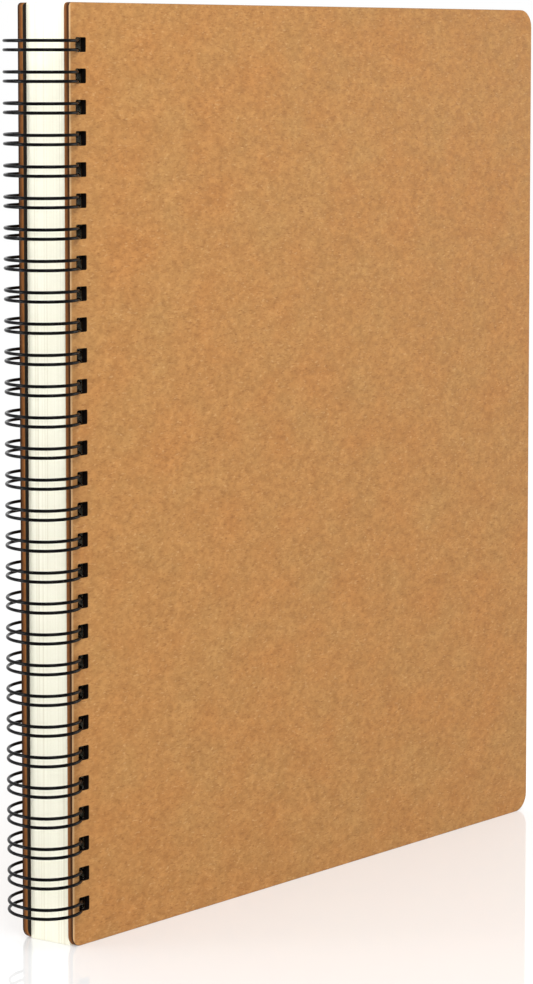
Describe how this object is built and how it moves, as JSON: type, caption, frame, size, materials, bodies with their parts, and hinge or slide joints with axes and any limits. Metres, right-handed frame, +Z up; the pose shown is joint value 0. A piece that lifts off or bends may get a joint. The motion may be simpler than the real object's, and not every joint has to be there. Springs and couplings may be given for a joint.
{
  "type": "sketchbook",
  "caption": "Upright wire-bound sketchbook: plain kraft board covers and cream drawing paper, turning on a twin-loop wire along the spine.",
  "frame": {"origin": "middle of the bottom of the whole book, wire loops included, as it stands on its lower edge", "axes": "+X from the spine to the fore-edge, +Y from the front cover to the back cover, +Z up along the spine"},
  "size_m": [0.2228, 0.0226, 0.26],
  "materials": {
    "kraft_board": "matt brown kraft board with fine fibre speckle",
    "drawing_paper": "matt cream drawing paper",
    "coated_wire": "glossy black nylon-coated steel wire"
  },
  "bodies": {
    "back": {"back_cover": "kraft_board", "binding_wire": "coated_wire"},
    "front_cover": {"front_cover": "kraft_board"},
    "sheet_01": {"sheet_01": "drawing_paper"},
    "sheet_02": {"sheet_02": "drawing_paper"},
    "sheet_03": {"sheet_03": "drawing_paper"},
    "sheet_04": {"sheet_04": "drawing_paper"},
    "sheet_05": {"sheet_05": "drawing_paper"},
    "sheet_06": {"sheet_06": "drawing_paper"},
    "sheet_07": {"sheet_07": "drawing_paper"},
    "sheet_08": {"sheet_08": "drawing_paper"},
    "sheet_09": {"sheet_09": "drawing_paper"},
    "sheet_10": {"sheet_10": "drawing_paper"},
    "sheet_11": {"sheet_11": "drawing_paper"},
    "sheet_12": {"sheet_12": "drawing_paper"},
    "sheet_13": {"sheet_13": "drawing_paper"},
    "sheet_14": {"sheet_14": "drawing_paper"},
    "sheet_15": {"sheet_15": "drawing_paper"},
    "sheet_16": {"sheet_16": "drawing_paper"},
    "sheet_17": {"sheet_17": "drawing_paper"},
    "sheet_18": {"sheet_18": "drawing_paper"},
    "sheet_19": {"sheet_19": "drawing_paper"},
    "sheet_20": {"sheet_20": "drawing_paper"},
    "sheet_21": {"sheet_21": "drawing_paper"},
    "sheet_22": {"sheet_22": "drawing_paper"},
    "sheet_23": {"sheet_23": "drawing_paper"},
    "sheet_24": {"sheet_24": "drawing_paper"},
    "sheet_25": {"sheet_25": "drawing_paper"},
    "sheet_26": {"sheet_26": "drawing_paper"},
    "sheet_27": {"sheet_27": "drawing_paper"},
    "sheet_28": {"sheet_28": "drawing_paper"},
    "sheet_29": {"sheet_29": "drawing_paper"},
    "sheet_30": {"sheet_30": "drawing_paper"},
    "sheet_31": {"sheet_31": "drawing_paper"},
    "sheet_32": {"sheet_32": "drawing_paper"},
    "sheet_33": {"sheet_33": "drawing_paper"},
    "sheet_34": {"sheet_34": "drawing_paper"},
    "sheet_35": {"sheet_35": "drawing_paper"},
    "sheet_36": {"sheet_36": "drawing_paper"},
    "sheet_37": {"sheet_37": "drawing_paper"},
    "sheet_38": {"sheet_38": "drawing_paper"},
    "sheet_39": {"sheet_39": "drawing_paper"},
    "sheet_40": {"sheet_40": "drawing_paper"},
    "sheet_41": {"sheet_41": "drawing_paper"},
    "sheet_42": {"sheet_42": "drawing_paper"},
    "sheet_43": {"sheet_43": "drawing_paper"},
    "sheet_44": {"sheet_44": "drawing_paper"},
    "sheet_45": {"sheet_45": "drawing_paper"},
    "sheet_46": {"sheet_46": "drawing_paper"},
    "sheet_47": {"sheet_47": "drawing_paper"},
    "sheet_48": {"sheet_48": "drawing_paper"},
    "sheet_49": {"sheet_49": "drawing_paper"},
    "sheet_50": {"sheet_50": "drawing_paper"}
  },
  "joints": [
    {"name": "front_cover_turn", "type": "hinge", "parent": "back", "child": "front_cover", "pos_m": [-0.10179, -0.00175, 0.13], "axis": [0, 0, 1], "range_deg": [-180, 0]},
    {"name": "sheet_01_turn", "type": "hinge", "parent": "back", "child": "sheet_01", "pos_m": [-0.10179, -0.00175, 0.13], "axis": [0, 0, 1], "range_deg": [-180, 0]},
    {"name": "sheet_02_turn", "type": "hinge", "parent": "back", "child": "sheet_02", "pos_m": [-0.10179, -0.00175, 0.13], "axis": [0, 0, 1], "range_deg": [-180, 0]},
    {"name": "sheet_03_turn", "type": "hinge", "parent": "back", "child": "sheet_03", "pos_m": [-0.10179, -0.00175, 0.13], "axis": [0, 0, 1], "range_deg": [-180, 0]},
    {"name": "sheet_04_turn", "type": "hinge", "parent": "back", "child": "sheet_04", "pos_m": [-0.10179, -0.00175, 0.13], "axis": [0, 0, 1], "range_deg": [-180, 0]},
    {"name": "sheet_05_turn", "type": "hinge", "parent": "back", "child": "sheet_05", "pos_m": [-0.10179, -0.00175, 0.13], "axis": [0, 0, 1], "range_deg": [-180, 0]},
    {"name": "sheet_06_turn", "type": "hinge", "parent": "back", "child": "sheet_06", "pos_m": [-0.10179, -0.00175, 0.13], "axis": [0, 0, 1], "range_deg": [-180, 0]},
    {"name": "sheet_07_turn", "type": "hinge", "parent": "back", "child": "sheet_07", "pos_m": [-0.10179, -0.00175, 0.13], "axis": [0, 0, 1], "range_deg": [-180, 0]},
    {"name": "sheet_08_turn", "type": "hinge", "parent": "back", "child": "sheet_08", "pos_m": [-0.10179, -0.00175, 0.13], "axis": [0, 0, 1], "range_deg": [-180, 0]},
    {"name": "sheet_09_turn", "type": "hinge", "parent": "back", "child": "sheet_09", "pos_m": [-0.10179, -0.00175, 0.13], "axis": [0, 0, 1], "range_deg": [-180, 0]},
    {"name": "sheet_10_turn", "type": "hinge", "parent": "back", "child": "sheet_10", "pos_m": [-0.10179, -0.00175, 0.13], "axis": [0, 0, 1], "range_deg": [-180, 0]},
    {"name": "sheet_11_turn", "type": "hinge", "parent": "back", "child": "sheet_11", "pos_m": [-0.10179, -0.00175, 0.13], "axis": [0, 0, 1], "range_deg": [-180, 0]},
    {"name": "sheet_12_turn", "type": "hinge", "parent": "back", "child": "sheet_12", "pos_m": [-0.10179, -0.00175, 0.13], "axis": [0, 0, 1], "range_deg": [-180, 0]},
    {"name": "sheet_13_turn", "type": "hinge", "parent": "back", "child": "sheet_13", "pos_m": [-0.10179, -0.00175, 0.13], "axis": [0, 0, 1], "range_deg": [-180, 0]},
    {"name": "sheet_14_turn", "type": "hinge", "parent": "back", "child": "sheet_14", "pos_m": [-0.10179, -0.00175, 0.13], "axis": [0, 0, 1], "range_deg": [-180, 0]},
    {"name": "sheet_15_turn", "type": "hinge", "parent": "back", "child": "sheet_15", "pos_m": [-0.10179, -0.00175, 0.13], "axis": [0, 0, 1], "range_deg": [-180, 0]},
    {"name": "sheet_16_turn", "type": "hinge", "parent": "back", "child": "sheet_16", "pos_m": [-0.10179, -0.00175, 0.13], "axis": [0, 0, 1], "range_deg": [-180, 0]},
    {"name": "sheet_17_turn", "type": "hinge", "parent": "back", "child": "sheet_17", "pos_m": [-0.10179, -0.00175, 0.13], "axis": [0, 0, 1], "range_deg": [-180, 0]},
    {"name": "sheet_18_turn", "type": "hinge", "parent": "back", "child": "sheet_18", "pos_m": [-0.10179, -0.00175, 0.13], "axis": [0, 0, 1], "range_deg": [-180, 0]},
    {"name": "sheet_19_turn", "type": "hinge", "parent": "back", "child": "sheet_19", "pos_m": [-0.10179, -0.00175, 0.13], "axis": [0, 0, 1], "range_deg": [-180, 0]},
    {"name": "sheet_20_turn", "type": "hinge", "parent": "back", "child": "sheet_20", "pos_m": [-0.10179, -0.00175, 0.13], "axis": [0, 0, 1], "range_deg": [-180, 0]},
    {"name": "sheet_21_turn", "type": "hinge", "parent": "back", "child": "sheet_21", "pos_m": [-0.10179, -0.00175, 0.13], "axis": [0, 0, 1], "range_deg": [-180, 0]},
    {"name": "sheet_22_turn", "type": "hinge", "parent": "back", "child": "sheet_22", "pos_m": [-0.10179, -0.00175, 0.13], "axis": [0, 0, 1], "range_deg": [-180, 0]},
    {"name": "sheet_23_turn", "type": "hinge", "parent": "back", "child": "sheet_23", "pos_m": [-0.10179, -0.00175, 0.13], "axis": [0, 0, 1], "range_deg": [-180, 0]},
    {"name": "sheet_24_turn", "type": "hinge", "parent": "back", "child": "sheet_24", "pos_m": [-0.10179, -0.00175, 0.13], "axis": [0, 0, 1], "range_deg": [-180, 0]},
    {"name": "sheet_25_turn", "type": "hinge", "parent": "back", "child": "sheet_25", "pos_m": [-0.10179, -0.00175, 0.13], "axis": [0, 0, 1], "range_deg": [-180, 0]},
    {"name": "sheet_26_turn", "type": "hinge", "parent": "back", "child": "sheet_26", "pos_m": [-0.10179, -0.00175, 0.13], "axis": [0, 0, 1], "range_deg": [-180, 0]},
    {"name": "sheet_27_turn", "type": "hinge", "parent": "back", "child": "sheet_27", "pos_m": [-0.10179, -0.00175, 0.13], "axis": [0, 0, 1], "range_deg": [-180, 0]},
    {"name": "sheet_28_turn", "type": "hinge", "parent": "back", "child": "sheet_28", "pos_m": [-0.10179, -0.00175, 0.13], "axis": [0, 0, 1], "range_deg": [-180, 0]},
    {"name": "sheet_29_turn", "type": "hinge", "parent": "back", "child": "sheet_29", "pos_m": [-0.10179, -0.00175, 0.13], "axis": [0, 0, 1], "range_deg": [-180, 0]},
    {"name": "sheet_30_turn", "type": "hinge", "parent": "back", "child": "sheet_30", "pos_m": [-0.10179, -0.00175, 0.13], "axis": [0, 0, 1], "range_deg": [-180, 0]},
    {"name": "sheet_31_turn", "type": "hinge", "parent": "back", "child": "sheet_31", "pos_m": [-0.10179, -0.00175, 0.13], "axis": [0, 0, 1], "range_deg": [-180, 0]},
    {"name": "sheet_32_turn", "type": "hinge", "parent": "back", "child": "sheet_32", "pos_m": [-0.10179, -0.00175, 0.13], "axis": [0, 0, 1], "range_deg": [-180, 0]},
    {"name": "sheet_33_turn", "type": "hinge", "parent": "back", "child": "sheet_33", "pos_m": [-0.10179, -0.00175, 0.13], "axis": [0, 0, 1], "range_deg": [-180, 0]},
    {"name": "sheet_34_turn", "type": "hinge", "parent": "back", "child": "sheet_34", "pos_m": [-0.10179, -0.00175, 0.13], "axis": [0, 0, 1], "range_deg": [-180, 0]},
    {"name": "sheet_35_turn", "type": "hinge", "parent": "back", "child": "sheet_35", "pos_m": [-0.10179, -0.00175, 0.13], "axis": [0, 0, 1], "range_deg": [-180, 0]},
    {"name": "sheet_36_turn", "type": "hinge", "parent": "back", "child": "sheet_36", "pos_m": [-0.10179, -0.00175, 0.13], "axis": [0, 0, 1], "range_deg": [-180, 0]},
    {"name": "sheet_37_turn", "type": "hinge", "parent": "back", "child": "sheet_37", "pos_m": [-0.10179, -0.00175, 0.13], "axis": [0, 0, 1], "range_deg": [-180, 0]},
    {"name": "sheet_38_turn", "type": "hinge", "parent": "back", "child": "sheet_38", "pos_m": [-0.10179, -0.00175, 0.13], "axis": [0, 0, 1], "range_deg": [-180, 0]},
    {"name": "sheet_39_turn", "type": "hinge", "parent": "back", "child": "sheet_39", "pos_m": [-0.10179, -0.00175, 0.13], "axis": [0, 0, 1], "range_deg": [-180, 0]},
    {"name": "sheet_40_turn", "type": "hinge", "parent": "back", "child": "sheet_40", "pos_m": [-0.10179, -0.00175, 0.13], "axis": [0, 0, 1], "range_deg": [-180, 0]},
    {"name": "sheet_41_turn", "type": "hinge", "parent": "back", "child": "sheet_41", "pos_m": [-0.10179, -0.00175, 0.13], "axis": [0, 0, 1], "range_deg": [-180, 0]},
    {"name": "sheet_42_turn", "type": "hinge", "parent": "back", "child": "sheet_42", "pos_m": [-0.10179, -0.00175, 0.13], "axis": [0, 0, 1], "range_deg": [-180, 0]},
    {"name": "sheet_43_turn", "type": "hinge", "parent": "back", "child": "sheet_43", "pos_m": [-0.10179, -0.00175, 0.13], "axis": [0, 0, 1], "range_deg": [-180, 0]},
    {"name": "sheet_44_turn", "type": "hinge", "parent": "back", "child": "sheet_44", "pos_m": [-0.10179, -0.00175, 0.13], "axis": [0, 0, 1], "range_deg": [-180, 0]},
    {"name": "sheet_45_turn", "type": "hinge", "parent": "back", "child": "sheet_45", "pos_m": [-0.10179, -0.00175, 0.13], "axis": [0, 0, 1], "range_deg": [-180, 0]},
    {"name": "sheet_46_turn", "type": "hinge", "parent": "back", "child": "sheet_46", "pos_m": [-0.10179, -0.00175, 0.13], "axis": [0, 0, 1], "range_deg": [-180, 0]},
    {"name": "sheet_47_turn", "type": "hinge", "parent": "back", "child": "sheet_47", "pos_m": [-0.10179, -0.00175, 0.13], "axis": [0, 0, 1], "range_deg": [-180, 0]},
    {"name": "sheet_48_turn", "type": "hinge", "parent": "back", "child": "sheet_48", "pos_m": [-0.10179, -0.00175, 0.13], "axis": [0, 0, 1], "range_deg": [-180, 0]},
    {"name": "sheet_49_turn", "type": "hinge", "parent": "back", "child": "sheet_49", "pos_m": [-0.10179, -0.00175, 0.13], "axis": [0, 0, 1], "range_deg": [-180, 0]},
    {"name": "sheet_50_turn", "type": "hinge", "parent": "back", "child": "sheet_50", "pos_m": [-0.10179, -0.00175, 0.13], "axis": [0, 0, 1], "range_deg": [-180, 0]}
  ],
  "couplings": [
    {"joint": "sheet_01_turn", "follows": "front_cover_turn", "ratio": 0.98039},
    {"joint": "sheet_02_turn", "follows": "front_cover_turn", "ratio": 0.96078},
    {"joint": "sheet_03_turn", "follows": "front_cover_turn", "ratio": 0.94118},
    {"joint": "sheet_04_turn", "follows": "front_cover_turn", "ratio": 0.92157},
    {"joint": "sheet_05_turn", "follows": "front_cover_turn", "ratio": 0.90196},
    {"joint": "sheet_06_turn", "follows": "front_cover_turn", "ratio": 0.88235},
    {"joint": "sheet_07_turn", "follows": "front_cover_turn", "ratio": 0.86274},
    {"joint": "sheet_08_turn", "follows": "front_cover_turn", "ratio": 0.84314},
    {"joint": "sheet_09_turn", "follows": "front_cover_turn", "ratio": 0.82353},
    {"joint": "sheet_10_turn", "follows": "front_cover_turn", "ratio": 0.80392},
    {"joint": "sheet_11_turn", "follows": "front_cover_turn", "ratio": 0.78431},
    {"joint": "sheet_12_turn", "follows": "front_cover_turn", "ratio": 0.76471},
    {"joint": "sheet_13_turn", "follows": "front_cover_turn", "ratio": 0.7451},
    {"joint": "sheet_14_turn", "follows": "front_cover_turn", "ratio": 0.72549},
    {"joint": "sheet_15_turn", "follows": "front_cover_turn", "ratio": 0.70588},
    {"joint": "sheet_16_turn", "follows": "front_cover_turn", "ratio": 0.68627},
    {"joint": "sheet_17_turn", "follows": "front_cover_turn", "ratio": 0.66667},
    {"joint": "sheet_18_turn", "follows": "front_cover_turn", "ratio": 0.64706},
    {"joint": "sheet_19_turn", "follows": "front_cover_turn", "ratio": 0.62745},
    {"joint": "sheet_20_turn", "follows": "front_cover_turn", "ratio": 0.60784},
    {"joint": "sheet_21_turn", "follows": "front_cover_turn", "ratio": 0.58823},
    {"joint": "sheet_22_turn", "follows": "front_cover_turn", "ratio": 0.56863},
    {"joint": "sheet_23_turn", "follows": "front_cover_turn", "ratio": 0.54902},
    {"joint": "sheet_24_turn", "follows": "front_cover_turn", "ratio": 0.52941},
    {"joint": "sheet_25_turn", "follows": "front_cover_turn", "ratio": 0.5098},
    {"joint": "sheet_26_turn", "follows": "front_cover_turn", "ratio": 0.4902},
    {"joint": "sheet_27_turn", "follows": "front_cover_turn", "ratio": 0.47059},
    {"joint": "sheet_28_turn", "follows": "front_cover_turn", "ratio": 0.45098},
    {"joint": "sheet_29_turn", "follows": "front_cover_turn", "ratio": 0.43137},
    {"joint": "sheet_30_turn", "follows": "front_cover_turn", "ratio": 0.41176},
    {"joint": "sheet_31_turn", "follows": "front_cover_turn", "ratio": 0.39216},
    {"joint": "sheet_32_turn", "follows": "front_cover_turn", "ratio": 0.37255},
    {"joint": "sheet_33_turn", "follows": "front_cover_turn", "ratio": 0.35294},
    {"joint": "sheet_34_turn", "follows": "front_cover_turn", "ratio": 0.33333},
    {"joint": "sheet_35_turn", "follows": "front_cover_turn", "ratio": 0.31372},
    {"joint": "sheet_36_turn", "follows": "front_cover_turn", "ratio": 0.29412},
    {"joint": "sheet_37_turn", "follows": "front_cover_turn", "ratio": 0.27451},
    {"joint": "sheet_38_turn", "follows": "front_cover_turn", "ratio": 0.2549},
    {"joint": "sheet_39_turn", "follows": "front_cover_turn", "ratio": 0.23529},
    {"joint": "sheet_40_turn", "follows": "front_cover_turn", "ratio": 0.21569},
    {"joint": "sheet_41_turn", "follows": "front_cover_turn", "ratio": 0.19608},
    {"joint": "sheet_42_turn", "follows": "front_cover_turn", "ratio": 0.17647},
    {"joint": "sheet_43_turn", "follows": "front_cover_turn", "ratio": 0.15686},
    {"joint": "sheet_44_turn", "follows": "front_cover_turn", "ratio": 0.13725},
    {"joint": "sheet_45_turn", "follows": "front_cover_turn", "ratio": 0.11765},
    {"joint": "sheet_46_turn", "follows": "front_cover_turn", "ratio": 0.098039},
    {"joint": "sheet_47_turn", "follows": "front_cover_turn", "ratio": 0.078431},
    {"joint": "sheet_48_turn", "follows": "front_cover_turn", "ratio": 0.058824},
    {"joint": "sheet_49_turn", "follows": "front_cover_turn", "ratio": 0.039216},
    {"joint": "sheet_50_turn", "follows": "front_cover_turn", "ratio": 0.019608}
  ]
}
